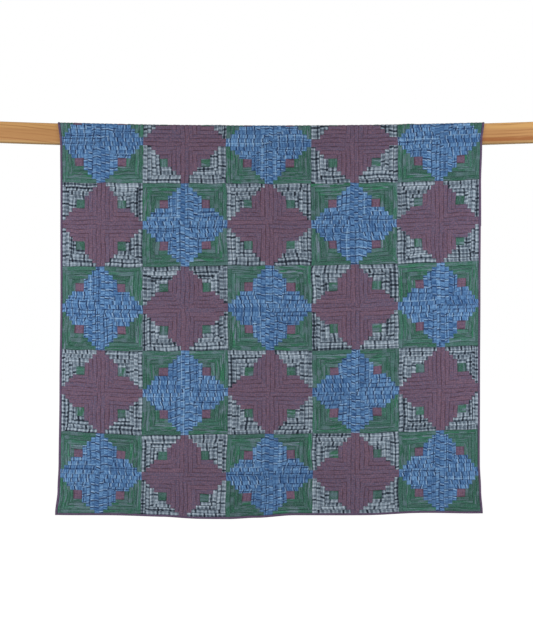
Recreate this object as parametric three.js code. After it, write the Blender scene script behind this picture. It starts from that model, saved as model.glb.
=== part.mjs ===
// A log cabin quilt hung over a planed wooden rail.
//
// Millimetres. +X runs along the rail, +Y points behind the quilt, and +Z is up. The origin is
// the middle of the rail, and the front of the quilt faces -Y.
//
// The quilt is one sheet: patchwork, thin wadding and backing, quilted together. It lies over the
// rail's flat top, bends round its two long edges and hangs down in front and, shorter, behind.
// A strip of binding is folded over each of its four edges.

import * as THREE from 'three';

// ---------------------------------------------------------------- driving dimensions

const RAIL_LENGTH = 2438;
const RAIL_DEPTH = 38;
const RAIL_HEIGHT = 89;
const RAIL_EASING = 3; // radius of the rail's eased long edges
const RAIL_CROOK = 24; // how much higher the rail's ends lie than its middle
const RAIL_STEPS = 24;
const EASING_STEPS = 3;

const QUILT_WIDTH = 1764; // five blocks of 350, and a binding of 7 at each side
const QUILT_LENGTH = 2114; // six blocks of 350, and a binding of 7 at each end
const THICKNESS = 3; // the quilted sheet
const BEND_RADIUS = 7.5; // from the centre of the rail's easing to the middle of the sheet

const BINDING_WIDTH = 7; // what shows of the binding on each face
const BINDING_CLOTH = 0.6; // two layers of cotton
const GAP = 0.3; // between pieces that touch

const EDGE_REACH = 350; // how far in from a side the cloth shares that side's drift
const LIFT_REACH = 60; // how far in from a side the cloth is lifted by its binding on the rail

// ---------------------------------------------------------------- the quilt's unevenness

// The front hem: the cloth's length from the crest down to it, at places across the quilt. What
// is left of the quilt's length hangs behind.
const FRONT_HEM = [
  { x: -882, length: 1666 },
  { x: -650, length: 1663 },
  { x: -450, length: 1665 },
  { x: -300, length: 1671 },
  { x: -180, length: 1671 },
  { x: -60, length: 1666 },
  { x: 100, length: 1656 },
  { x: 400, length: 1657 },
  { x: 600, length: 1652 },
  { x: 882, length: 1659 },
];

// The sides: how far each stands outside the cut width, by cloth length below the crest. What
// lies behind the rail has a negative length.
const SIDES = [
  { down: -455, left: 3, right: 4 },
  { down: -110, left: 1, right: 3 },
  { down: 0, left: 12, right: 15 },
  { down: 110, left: 1, right: 4 },
  { down: 300, left: 0, right: -1 },
  { down: 740, left: 0, right: -3 },
  { down: 1150, left: 7, right: -5 },
  { down: 1450, left: 10, right: -6 },
  { down: 1560, left: 17, right: -1 },
  { down: 1662, left: 25, right: 6 },
];

// Soft ripples of the two hanging panels: how far each stands out at the hem, how wide it is to
// either side, and how far above the hem it dies away.
const FRONT_RIPPLES = [
  { x: -900, halfWidth: 190, out: 15, rise: 520 },
  { x: -600, halfWidth: 210, out: -9, rise: 900 },
  { x: -245, halfWidth: 230, out: 13, rise: 1150 },
  { x: 90, halfWidth: 220, out: -8, rise: 1000 },
  { x: 430, halfWidth: 240, out: 8, rise: 1250 },
  { x: 690, halfWidth: 150, out: -6, rise: 700 },
  { x: 900, halfWidth: 170, out: 11, rise: 480 },
];
const BACK_RIPPLES = [
  { x: -540, halfWidth: 270, out: 7, rise: 300 },
  { x: 40, halfWidth: 210, out: 4, rise: 250 },
  { x: 640, halfWidth: 290, out: 8, rise: 320 },
];

// ---------------------------------------------------------------- derived sizes

const halfWidth = QUILT_WIDTH / 2;
const halfTop = RAIL_DEPTH / 2 - RAIL_EASING; // the flat half of the rail's top
const panelStart = halfTop + (Math.PI / 2) * BEND_RADIUS; // where the cloth starts to hang
const bindingInside = THICKNESS / 2 + GAP; // from the sheet's middle to the binding
const bindingOutside = bindingInside + BINDING_CLOTH;
const sheetInset = GAP + BINDING_CLOTH; // from the binding's outer edge to the sheet's own edge

// ---------------------------------------------------------------- helpers

const ease = (share) => share * share * (3 - 2 * share);
const clamp = (value) => Math.min(1, Math.max(0, value));

/** Reads one column of a table at a place, easing from each row to the next. */
function between(table, key, column, at) {
  let row = 0;
  while (row < table.length - 2 && at > table[row + 1][key]) row += 1;
  const low = table[row];
  const high = table[row + 1];
  const share = ease(clamp((at - low[key]) / (high[key] - low[key])));
  return low[column] + (high[column] - low[column]) * share;
}

/** The numbers from low to high in equal steps, both ends included. */
function evenSteps(low, high, count) {
  return Array.from({ length: count + 1 }, (_, i) => low + ((high - low) * i) / count);
}

/**
 * A closed solid made of copies of a flat outline, one at each step; place(point, step) gives
 * where a point of it lies at a step. The outline runs anticlockwise seen from ahead of the steps,
 * along one side of the section and back along the other, so that a strip between its two halves
 * closes each end.
 */
function sweep(outline, steps, place) {
  const ring = outline.length;
  const positions = steps.flatMap((step) => outline.flatMap((p) => place(p, step).toArray()));
  const index = [];
  for (let row = 0; row < steps.length - 1; row += 1) {
    for (let i = 0; i < ring; i += 1) {
      const a = row * ring + i;
      const b = row * ring + ((i + 1) % ring);
      index.push(a, b, b + ring, a, b + ring, a + ring);
    }
  }
  const last = (steps.length - 1) * ring;
  for (let a = 0; a < ring / 2 - 1; a += 1) {
    const [b, c, d] = [a + 1, ring - 2 - a, ring - 1 - a];
    index.push(a, c, b, a, d, c);
    index.push(last + a, last + b, last + c, last + a, last + c, last + d);
  }
  const geometry = new THREE.BufferGeometry();
  geometry.setAttribute('position', new THREE.Float32BufferAttribute(positions, 3));
  geometry.setIndex(index);
  geometry.computeVertexNormals();
  return geometry;
}

// ---------------------------------------------------------------- the rail's and cloth's shape

/** Height of the rail's top face: the rail is bowed along a parabola, lowest in the middle. */
function railTop(x) {
  return RAIL_HEIGHT / 2 + RAIL_CROOK * ((2 * x) / RAIL_LENGTH) ** 2;
}

/** The cloth's length from the crest to the hem, in front and behind. */
const frontHem = (x) => between(FRONT_HEM, 'x', 'length', x);
const backHem = (x) => QUILT_LENGTH - frontHem(x);

/** How far a panel stands out of its flat hanging plane, by its ripples. */
function ripple(x, down) {
  const ripples = down > 0 ? FRONT_RIPPLES : BACK_RIPPLES;
  const aboveHem = down > 0 ? frontHem(x) - down : backHem(x) + down;
  return ripples.reduce((sum, r) => {
    const across = Math.cos((Math.PI / 2) * Math.min(1, Math.abs(x - r.x) / r.halfWidth)) ** 2;
    return sum + r.out * across * ease(clamp(1 - aboveHem / r.rise));
  }, 0);
}

/** Height of the sheet's middle over the rail's flat top: it sags a little between the edges. */
function restHeight(x, along) {
  const fromSide = halfWidth - Math.abs(x);
  const bound = 1 - ease(clamp((fromSide - 2 * BINDING_WIDTH) / LIFT_REACH));
  const low = THICKNESS / 2 + GAP + sheetInset * bound;
  const high = BEND_RADIUS - RAIL_EASING;
  return low + (high - low) * (1 - Math.cos((Math.PI * along) / halfTop)) / 2;
}

/**
 * A point of the cloth. x is its place across the cut quilt, down its length of cloth from the
 * crest (negative behind the rail), and off its distance outwards from the sheet's middle.
 */
function clothPoint(x, down, off) {
  const along = Math.abs(down);
  let turn = 0; // of the cloth's outward direction, from straight up to level
  let y = along;
  let z = 0;
  if (along <= halfTop) {
    z = restHeight(x, along);
  } else if (along < panelStart) {
    turn = (along - halfTop) / BEND_RADIUS;
    y = halfTop + BEND_RADIUS * Math.sin(turn);
    z = BEND_RADIUS * Math.cos(turn) - RAIL_EASING;
  } else {
    turn = Math.PI / 2;
    y = halfTop + BEND_RADIUS + ripple(x, down);
    z = panelStart - along - RAIL_EASING;
  }
  y += off * Math.sin(turn);
  z += off * Math.cos(turn);
  const inFromSide = clamp(1 - (halfWidth - Math.abs(x)) / EDGE_REACH) ** 2;
  const drift = between(SIDES, 'down', x < 0 ? 'left' : 'right', down) * inFromSide;
  const hungX = x + Math.sign(x) * drift;
  return new THREE.Vector3(hungX, down > 0 ? -y : y, railTop(hungX) + z);
}

// ---------------------------------------------------------------- steps over the cloth

// Places across the sheet, closer at the sides where the binding holds it.
const sideColumns = [halfWidth - sheetInset, halfWidth - BINDING_WIDTH, halfWidth - 14];
const innerColumns = evenSteps(-sideColumns[2], sideColumns[2], 24);
const columns = [
  -sideColumns[0],
  -sideColumns[1],
  ...innerColumns,
  sideColumns[1],
  sideColumns[0],
];

// Places along the cloth, from the back hem over the rail to the front hem. Each is a function
// of x, because the hems are uneven.
const overRail = [
  ...evenSteps(-panelStart, -halfTop, 5),
  ...evenSteps(-halfTop, halfTop, 6).slice(1, -1),
  ...evenSteps(halfTop, panelStart, 5),
];
const hanging = (hem, share) => panelStart + (hem - BINDING_WIDTH - panelStart) * share;
const backShares = evenSteps(1, 0, 5).slice(0, -1);
const frontShares = evenSteps(0, 1, 25).slice(1);
const lengthwise = [
  (x) => sheetInset - backHem(x),
  ...backShares.map((share) => (x) => -hanging(backHem(x), share)),
  ...overRail.map((down) => () => down),
  ...frontShares.map((share) => (x) => hanging(frontHem(x), share)),
  (x) => frontHem(x) - sheetInset,
];

// ---------------------------------------------------------------- the pieces

const woodMaterial = new THREE.MeshStandardMaterial({ color: 0xbf8f5a, roughness: 0.62 });
const quiltMaterial = new THREE.MeshStandardMaterial({ color: 0x5d6f88, roughness: 0.92 });
const bindingMaterial = new THREE.MeshStandardMaterial({ color: 0x4d3c52, roughness: 0.9 });

function addPiece(group, name, geometry, material) {
  const mesh = new THREE.Mesh(geometry, material);
  mesh.name = name;
  group.add(mesh);
}

/** The rail: a rectangle with eased corners, carried along its bow. Its ends are cut upright. */
function railGeometry() {
  const corners = [
    { y: 1, z: -1, start: -90 },
    { y: 1, z: 1, start: 0 },
    { y: -1, z: 1, start: 90 },
    { y: -1, z: -1, start: 180 },
  ];
  const outline = corners.flatMap((corner) =>
    evenSteps(corner.start, corner.start + 90, EASING_STEPS).map((degrees) => {
      const angle = THREE.MathUtils.degToRad(degrees);
      return new THREE.Vector2(
        corner.y * halfTop + RAIL_EASING * Math.cos(angle),
        corner.z * (RAIL_HEIGHT / 2 - RAIL_EASING) + RAIL_EASING * Math.sin(angle),
      );
    }),
  );
  const stations = evenSteps(-RAIL_LENGTH / 2, RAIL_LENGTH / 2, RAIL_STEPS);
  const middle = (x) => railTop(x) - RAIL_HEIGHT / 2;
  return sweep(outline, stations, (p, x) => new THREE.Vector3(x, p.x, middle(x) + p.y));
}

/** The quilted sheet, up to the inside of its binding. */
function sheetGeometry() {
  const outline = [
    ...columns.map((x) => new THREE.Vector2(x, -THICKNESS / 2)),
    ...columns.toReversed().map((x) => new THREE.Vector2(x, THICKNESS / 2)),
  ];
  return sweep(outline, lengthwise, (p, down) => clothPoint(p.x, down(p.x), p.y));
}

/** A binding's section, folded round the sheet's edge: x is measured in from its outer fold. */
function channelOutline() {
  return [
    [BINDING_WIDTH, -bindingInside],
    [BINDING_CLOTH, -bindingInside],
    [BINDING_CLOTH, bindingInside],
    [BINDING_WIDTH, bindingInside],
    [BINDING_WIDTH, bindingOutside],
    [0, bindingOutside],
    [0, -bindingOutside],
    [BINDING_WIDTH, -bindingOutside],
  ].map(([inwards, off]) => new THREE.Vector2(inwards, off));
}

/** The binding of one side, from the back hem over the rail to the front hem. */
function sideBindingGeometry(side) {
  const steps = [(x) => -backHem(x), ...lengthwise, frontHem];
  const alongSide = (p, down) => {
    const x = side * (halfWidth - p.x);
    return clothPoint(x, down(x), p.y);
  };
  return sweep(channelOutline(), side < 0 ? steps : steps.toReversed(), alongSide);
}

/** The binding of one hem, between the two side bindings. */
function hemBindingGeometry(isFront) {
  const end = halfWidth - BINDING_WIDTH - GAP;
  const across = [-end, ...innerColumns, end];
  const alongHem = (p, x) =>
    clothPoint(x, isFront ? frontHem(x) - p.x : p.x - backHem(x), p.y);
  return sweep(channelOutline(), isFront ? across : across.toReversed(), alongHem);
}

const group = new THREE.Group();
addPiece(group, 'hanging_rail', railGeometry(), woodMaterial);
addPiece(group, 'quilt', sheetGeometry(), quiltMaterial);
addPiece(group, 'left_binding', sideBindingGeometry(-1), bindingMaterial);
addPiece(group, 'right_binding', sideBindingGeometry(1), bindingMaterial);
addPiece(group, 'front_hem_binding', hemBindingGeometry(true), bindingMaterial);
addPiece(group, 'back_hem_binding', hemBindingGeometry(false), bindingMaterial);

export default group;
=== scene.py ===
# A log cabin quilt hung over a planed wooden rail.
#
# The quilt is one sheet of cloth, so every piece of it is laid out on the flat quilt first and
# then hung: hang() carries a place on the flat quilt to where it lies over the rail. Lengths are
# in millimetres until a mesh is made, which is in metres. +X runs along the rail, +Y points
# behind the quilt, +Z is up, and the origin is the middle of the rail.

import bpy
import numpy as np
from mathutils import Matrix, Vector


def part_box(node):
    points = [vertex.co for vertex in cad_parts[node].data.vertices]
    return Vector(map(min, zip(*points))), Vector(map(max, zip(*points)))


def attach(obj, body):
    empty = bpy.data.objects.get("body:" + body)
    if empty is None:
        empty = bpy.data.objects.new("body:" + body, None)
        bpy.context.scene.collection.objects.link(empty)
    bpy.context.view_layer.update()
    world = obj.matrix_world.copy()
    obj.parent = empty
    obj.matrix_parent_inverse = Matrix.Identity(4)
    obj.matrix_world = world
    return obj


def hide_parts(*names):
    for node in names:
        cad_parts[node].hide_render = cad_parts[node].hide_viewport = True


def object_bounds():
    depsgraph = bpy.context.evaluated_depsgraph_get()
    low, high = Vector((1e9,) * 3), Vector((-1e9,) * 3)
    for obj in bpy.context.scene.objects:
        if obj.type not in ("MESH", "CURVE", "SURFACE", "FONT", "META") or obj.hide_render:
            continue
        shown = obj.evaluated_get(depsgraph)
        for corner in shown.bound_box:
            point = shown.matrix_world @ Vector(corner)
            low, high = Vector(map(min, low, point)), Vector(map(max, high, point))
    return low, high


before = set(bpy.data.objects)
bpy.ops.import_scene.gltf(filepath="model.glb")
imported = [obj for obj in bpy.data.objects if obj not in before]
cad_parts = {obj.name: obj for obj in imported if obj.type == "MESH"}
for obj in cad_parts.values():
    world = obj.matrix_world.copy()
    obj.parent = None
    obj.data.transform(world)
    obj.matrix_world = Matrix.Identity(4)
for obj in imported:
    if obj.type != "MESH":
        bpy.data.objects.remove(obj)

cad_low, cad_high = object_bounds()
rail_low, rail_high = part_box("hanging_rail")

# ---------- driving sizes, in millimetres

MM = 0.001  # a millimetre in metres

RAIL_LENGTH = (rail_high.x - rail_low.x) / MM
RAIL_DEPTH = (rail_high.y - rail_low.y) / MM
RAIL_HEIGHT = 89
RAIL_CROOK = (rail_high.z - rail_low.z) / MM - RAIL_HEIGHT  # rise of its ends over its middle
RAIL_EASING = 3

QUILT_WIDTH = 1764
QUILT_LENGTH = 2114
THICKNESS = 3
BEND_RADIUS = 7.5  # from the centre of the rail's easing to the middle of the sheet
GAP = 0.3
SETTLE = 1.8  # how far the cloth's weight draws it down on the rail's edges

LOG = 17.5  # finished width of a log
COLUMNS = 5  # blocks across
ROWS = 6  # blocks from the back hem to the front hem
LINES = 20  # logs across a block

BINDING_WIDTH = 8.8
BINDING_CLOTH = 0.6
BINDING_LAP = 2.2  # width of its stitched edges,
BINDING_PRESS = 0.35  # which are pressed in by this much, while its middle stands out as far
BINDING_FULL, FULL_REACH = 4, 2.5  # where across it that middle is, and its reach
BINDING_WAVER, WAVER_LENGTH = 0.35, 60  # how far its edges waver
BINDING_PUFF, PUFF_LENGTH = 0.06, 26  # share by which it puffs between its stitches
BINDING_STEPS = 11  # places across it, from edge to edge
BINDING_STATION = 7  # between its stations
TUCKED = 4  # how far the patchwork runs in under its binding

DITCH = 0.8  # height over the sheet's middle of a seam
CROWN = 2.1  # and of a log's soft ridge
CHANNEL = 0.3  # how deep the line of quilting sinks into the ridge
CHANNEL_REACH = 0.15  # to either side of its middle, in log widths
EDGE_LOFT = 0.35  # share of the ridges' height that is left against the binding
LINING_TOP = 0.2  # height of the wadding's upper face, which the patchwork's rim turns down to
LINING = -THICKNESS / 2  # height of the lining's face

EDGE_REACH = 350  # how far in from a side the cloth shares that side's drift
LIFT_REACH = 60  # how far in from a side the cloth is lifted by its binding on the rail
SWELL, SWELL_LENGTH = 1.3, 260  # the hanging panels' soft unevenness and its waves' length,
SWELL_STARTS = 120  # and how far down from the rail it has grown
WANDER, WANDER_LENGTH = 1.7, 115  # how far a sewn line wanders from straight
PUCKER, PUCKER_LENGTH = 0.25, 34  # fine unevenness of the quilted top

# ---------- the quilt's unevenness

# The front hem: the cloth's length from the crest down to it.
FRONT_HEM = {
    "x": [-882, -650, -450, -300, -180, -60, 100, 400, 600, 882],
    "length": [1666, 1663, 1665, 1671, 1671, 1666, 1656, 1657, 1652, 1659],
}
# The sides: how far each stands outside the cut width, by length of cloth below the crest.
SIDES = {
    "down": [-455, -110, 0, 110, 300, 740, 1150, 1450, 1560, 1662],
    "left": [3, 1, 12, 1, 0, 0, 4, 7, 11, 21],
    "right": [4, 3, 15, 4, -1, -3, -5, -6, -1, 6],
}
# Ripples of each panel: the place across of each one, its reach to either side, how far it
# stands out at the hem, and how far above the hem it dies away.
FRONT_RIPPLES = (
    (-900, 190, 15, 520),
    (-600, 210, -9, 900),
    (-245, 230, 13, 1150),
    (90, 220, -8, 1000),
    (430, 240, 8, 1250),
    (690, 150, -6, 700),
    (900, 170, 11, 480),
)
BACK_RIPPLES = (
    (-540, 270, 7, 300),
    (40, 210, 4, 250),
    (640, 290, 8, 320),
)
# Where the cloth stands a little higher off the rail: the place across, its reach and height.
LIFTS = ((-229, 70, 2.0), (577, 45, 2.4))
# Length of cloth from the crest to the seam above each row of blocks, at the block seams.
ROW_SEAMS = {
    "x": [-882, -538, -183, 171, 533, 882],
    "row_1": [-74, -81, -77, -77, -80, -91],
    "row_2": [273, 268, 264, 266, 264, 259],
    "row_3": [623, 621, 608, 608, 606, 600],
    "row_4": [972, 973, 963, 966, 959, 956],
    "row_5": [1314, 1326, 1315, 1314, 1311, 1305],
}
# Place across the quilt of the seam after each column of blocks, by length below the crest.
COLUMN_SEAMS = {
    "down": [-450, 190, 440, 790, 1140, 1490, 1660],
    "column_1": [-535, -534, -538, -537, -539, -542, -545],
    "column_2": [-183, -187, -182, -180, -179, -187, -191],
    "column_3": [171, 169, 170, 172, 175, 173, 173],
    "column_4": [533, 532, 529, 536, 537, 536, 534],
}
# The outermost logs are trimmed: their finished width as a share of a whole log's, by row.
LEFT_TRIMS = (0.8, 0.76, 0.83, 0.76, 0.87, 0.78)
RIGHT_TRIMS = (0.85, 0.9, 0.87, 0.77, 0.75, 0.85)
FRONT_TRIM = 0.87
TRIMMED = 4  # logs along each side

# ---------- derived sizes

HALF_WIDTH = QUILT_WIDTH / 2
HALF_TOP = RAIL_DEPTH / 2 - RAIL_EASING  # the flat half of the rail's top
PANEL_START = HALF_TOP + np.pi / 2 * BEND_RADIUS  # where the cloth starts to hang
BINDING_INSIDE = THICKNESS / 2 + GAP
SHEET_INSET = GAP + BINDING_CLOTH  # from the binding's outer fold to the sheet's own edge

# ---------- shapes as whole arrays


def ease(share):
    """Turns an even share, held between 0 and 1, into one that starts and ends gently:
    s s (3 - 2 s)."""
    share = np.clip(share, 0, 1)
    return share * share * (3 - 2 * share)


def between(table, key, column, at):
    """A table's column read at many places, easing from each entry to the next."""
    keys = np.array(table[key], float)
    values = np.array(table[column], float)
    low = np.clip(np.searchsorted(keys, at, side="right") - 1, 0, len(keys) - 2)
    share = ease((at - keys[low]) / (keys[low + 1] - keys[low]))
    return values[low] + (values[low + 1] - values[low]) * share


def hump(distance, reach):
    """A round hump, the squared cosine of a quarter turn at its reach: 1 in the middle, 0 outside."""
    return np.cos(np.pi / 2 * np.minimum(1, np.abs(distance) / reach)) ** 2


def swell(x, y, length, seed):
    """Soft unevenness, mostly within -1 and 1: seven plane waves added and divided by the square
    root of seven. Each has its own direction and phase, and a length near the given one."""
    waves = 7
    low = [[0], [0], [0.7]]
    high = [[np.pi], [2 * np.pi], [1.5]]
    total = 0
    for angle, phase, stretch in zip(*np.random.default_rng(seed).uniform(low, high, (3, waves))):
        along = x * np.cos(angle) + y * np.sin(angle)
        total = total + np.sin(2 * np.pi * along / (length * stretch) + phase)
    return total / np.sqrt(waves)


def rail_top(x):
    """Height of the rail's top face: a parabola along the rail, lowest in the middle."""
    return RAIL_HEIGHT / 2 + RAIL_CROOK * (2 * x / RAIL_LENGTH) ** 2


def front_hem(x):
    """The cloth's length from the crest to the front hem."""
    return between(FRONT_HEM, "x", "length", x)


def back_hem(x):
    """The cloth's length from the crest to the back hem: what the front leaves."""
    return QUILT_LENGTH - front_hem(x)


def ripple(x, ripples, above_hem):
    """How far a panel stands out of its flat plane: the sum of its ripples, each a hump across
    the quilt that grows gently from its rise down to the hem."""
    total = np.zeros(np.shape(x))
    for middle, reach, out, rise in ripples:
        total += out * hump(x - middle, reach) * ease(1 - above_hem / rise)
    return total


def rest_height(x, along):
    """Height of the sheet's middle over the rail's flat top: half a cosine from its low line in
    the middle to its high line at the rail's edge, lifted near the sides by the binding."""
    bound = 1 - ease((HALF_WIDTH - np.abs(x) - 2 * BINDING_WIDTH) / LIFT_REACH)
    low = THICKNESS / 2 + GAP + SHEET_INSET * bound
    high = BEND_RADIUS - RAIL_EASING - SETTLE
    return low + (high - low) * (1 - np.cos(np.pi * along / HALF_TOP)) / 2


def hang(x, down, off):
    """Where a place of the flat quilt lies once it is hung. x runs across the quilt, down is the
    length of cloth from the crest, negative behind, and off the distance outwards from the
    sheet's middle. The cloth lies along the rail's top, turns a quarter of an ellipse round its
    edge and hangs straight down, apart from its ripples, its swell and the drift of its sides."""
    x, down, off = np.broadcast_arrays(*(np.asarray(value, float) for value in (x, down, off)))
    along = np.abs(down)
    front = down > 0
    turn = np.clip((along - HALF_TOP) / BEND_RADIUS, 0, np.pi / 2)
    lying = along < HALF_TOP
    y = np.where(lying, along, HALF_TOP + BEND_RADIUS * np.sin(turn))
    z = np.where(lying, rest_height(x, along), (BEND_RADIUS - SETTLE) * np.cos(turn) - RAIL_EASING)
    hanging = np.maximum(along - PANEL_START, 0)
    z = z - hanging
    in_front = ripple(x, FRONT_RIPPLES, front_hem(x) - down)
    behind = ripple(x, BACK_RIPPLES, back_hem(x) + down)
    y = y + np.where(front, in_front, behind) * (hanging > 0)
    y = y + SWELL * swell(x, down, SWELL_LENGTH, 11) * ease(hanging / SWELL_STARTS)
    for middle, reach, height in LIFTS:
        z = z + height * hump(x - middle, reach) * hump(along, 1.5 * PANEL_START)
    y = y + off * np.sin(turn)
    z = z + off * np.cos(turn)
    from_side = np.clip(1 - (HALF_WIDTH - np.abs(x)) / EDGE_REACH, 0, None) ** 2
    left, right = (between(SIDES, "down", side, down) for side in ("left", "right"))
    hung_x = x + np.sign(x) * np.where(x < 0, left, right) * from_side
    return np.stack([hung_x, np.where(front, -y, y), rail_top(hung_x) + z], axis=-1)


# ---------- the patchwork's plan

# A block is twenty log lines each way and is made of four quarters, each a square of two logs
# with four rounds of logs about it. The diamond's logs of each quarter face the block's middle.
# Places on the plan are in log lines: p from 0 at the left side to 100, and q from 0 at the back
# hem to 120 at the front hem.

HALF = LINES // 2  # lines across a quarter
CENTRE = 4  # the first of the two lines of a quarter's centre square
QUARTERS = 4  # in a block
NUMBERS = 20  # kept for the logs of a quarter: four for each round, and the first for its square
DIAMOND, GROUND, SQUARE = range(3)
PLUM_BLOCK = 3  # fabrics of a plum block come after the three of a blue one
HAIR = 1e-6  # keeps a place off the line where it would count as the next log's
# Quarters whose three inner rounds were sewn the other way about, with the ground's logs last,
# as (row, column, quarter). Quarters go left to right, the upper two first.
OTHER_WAY = ((1, 1, 2), (1, 1, 3), (1, 3, 0), (1, 3, 1), (1, 3, 3))


def block_at(p, q):
    """The row and the column of the block at each place of the plan."""
    row = np.clip(np.floor(q / LINES), 0, ROWS - 1).astype(int)
    column = np.clip(np.floor(p / LINES), 0, COLUMNS - 1).astype(int)
    return row, column


def from_middle(at, block):
    """Whether a place along a row or a column lies after its block's middle, and the number of
    whole log lines between the two."""
    out = np.clip(at - LINES * block, 0, LINES - HAIR) - HALF
    after = out >= 0
    return after, np.floor(np.where(after, out, -out - HAIR)).astype(int).clip(0, HALF - 1)


def plan(p, q):
    """Which log lies at each place of the plan. Counted outwards from the block's middle, a
    place's round is how many lines it lies outside its quarter's square. Each round's four logs
    were sewn in turn, so a later one runs past the end of the one before: the diamond's two come
    last, or in the inner rounds of OTHER_WAY's quarters the ground's two. The quarters are
    turned a quarter turn from one to the next. Gives the log's number, its fabric, whether it
    runs along the rows, and the line where it starts across its width."""
    row, column = block_at(p, q)
    right, i = from_middle(p, column)
    lower, j = from_middle(q, row)
    level = right == lower  # quarters whose last log of a round runs along the rows
    first = np.where(level, i, j)
    last = np.where(level, j, i)
    round_number = np.max([CENTRE - i, i - CENTRE - 1, CENTRE - j, j - CENTRE - 1], axis=0)
    inner = CENTRE - round_number
    outer = CENTRE + 1 + round_number
    side = np.select([last == inner, first == inner, last == outer], [0, 1, 2], 3)
    quarter = QUARTERS * (row * COLUMNS + column) + 2 * lower + right
    turned = [QUARTERS * (row_at * COLUMNS + at) + corner for row_at, at, corner in OTHER_WAY]
    ground_last = np.select([last == outer, first == outer, last == inner], [2, 3, 0], 1)
    side = np.where(np.isin(quarter, turned) & (round_number < CENTRE), ground_last, side)
    square = round_number <= 0
    along_row = np.where(square, level, (side % 2 == 0) == level)
    kind = np.where(square, SQUARE, np.where(side < 2, DIAMOND, GROUND))
    plum_block = (row + column) % 2 == 0
    number = NUMBERS * quarter + np.where(square, 0, 4 * round_number + side)
    after = np.where(along_row, lower, right)
    square_line = HALF + LINES * np.where(along_row, row, column) + np.where(after, CENTRE, -CENTRE - 2)
    start = np.where(square, square_line, np.floor(np.where(along_row, q, p)))
    return number, kind + PLUM_BLOCK * plum_block, along_row, start


def strip_place(p, q, log):
    """Coordinates on a log: its length in log widths, and its width from 0 to 1."""
    _, fabric, along_row, start = log
    width = np.where(fabric % PLUM_BLOCK == SQUARE, 2, 1)
    across = (np.where(along_row, q, p) - start) / width
    return np.where(along_row, p, q), across


def relief(p, q):
    """Height of the patchwork over the sheet's middle. Across a log it is one soft ridge, the
    sine of half a turn from seam to seam, with the line of quilting sunk into it midway. On a
    seam it is the ditch. A place on a border takes the lowest of the four logs that meet there."""
    step = 1e-4  # log lines to either side of a place
    heights, numbers = [], []
    for side_p, side_q in ((-1, -1), (1, -1), (-1, 1), (1, 1)):
        near_p, near_q = p + side_p * step, q + side_q * step
        log = plan(near_p, near_q)
        across = strip_place(near_p, near_q, log)[1]
        ridge = np.sin(np.pi * (across - np.floor(across)))
        channel = CHANNEL * hump(across - 0.5, CHANNEL_REACH)
        heights.append(DITCH + (CROWN - DITCH) * ridge - channel)
        numbers.append(log[0])
    on_seam = np.ptp(numbers, axis=0) > 0
    return np.where(on_seam, DITCH, np.min(heights, axis=0))


def line_shares(first=1.0, last=1.0):
    """Where the log lines of a block lie, as shares of its width: equal logs, apart from the
    trimmed ones at its first or last side."""
    widths = np.ones(LINES)
    widths[:TRIMMED] = first
    widths[-TRIMMED:] = last
    return np.concatenate([[0], np.cumsum(widths)]) / widths.sum()


def column_seams(down):
    """The six seams that bound the columns, at each length of cloth."""
    side = HALF_WIDTH - BINDING_WIDTH
    inner = [between(COLUMN_SEAMS, "down", f"column_{n}", down) for n in range(1, COLUMNS)]
    return np.stack([np.full(np.shape(down), -side), *inner, np.full(np.shape(down), side)])


def row_seams(x):
    """The seven seams that bound the rows, at each place across."""
    inner = [np.interp(x, ROW_SEAMS["x"], ROW_SEAMS[f"row_{n}"]) for n in range(1, ROWS)]
    return np.stack([BINDING_WIDTH - back_hem(x), *inner, front_hem(x) - BINDING_WIDTH])


def read_off(lines, at):
    """The share at a place counted in lines, from each place's own row of line shares."""
    whole = np.clip(np.floor(at), 0, LINES - 1).astype(int)
    low = np.take_along_axis(lines, whole[..., None], -1)[..., 0]
    high = np.take_along_axis(lines, whole[..., None] + 1, -1)[..., 0]
    return low + (high - low) * (at - whole)


def share_out(seams, block, share):
    """The place at a share of the way from a block's first seam to the next."""
    low, high = np.take_along_axis(seams, np.stack([block, block + 1]), 0)
    return low + (high - low) * share


def lay(p, q):
    """Where the plan's places lie on the flat quilt, as (x, down): shared out between the seams
    of their block, with a sewer's small wander of each line, which the quilt's edges don't
    share."""
    p, q = np.broadcast_arrays(p, q)
    row, column = block_at(p, q)
    inner = [line_shares()] * (COLUMNS - 2)
    across = [
        [line_shares(first=left), *inner, line_shares(last=right)]
        for left, right in zip(LEFT_TRIMS, RIGHT_TRIMS)
    ]
    share_p = read_off(np.array(across)[row, column], p - LINES * column)
    lengthwise = [line_shares()] * (ROWS - 1) + [line_shares(last=FRONT_TRIM)]
    share_q = read_off(np.array(lengthwise)[row], q - LINES * row)
    straight_x = (p / (LINES * COLUMNS) * 2 - 1) * (HALF_WIDTH - BINDING_WIDTH)
    down = share_out(row_seams(straight_x), row, share_q)
    x = share_out(column_seams(down), column, share_p)
    inside = np.minimum(1, (HALF_WIDTH - BINDING_WIDTH - np.abs(x)) / LOG).clip(0)
    x = x + WANDER * swell(straight_x, down, WANDER_LENGTH, 21) * inside
    inside = np.abs(np.sin(np.pi * q / (LINES * ROWS))) ** 0.2
    return x, down + WANDER * swell(straight_x, down, WANDER_LENGTH, 22) * inside


# ---------- meshes


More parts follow.
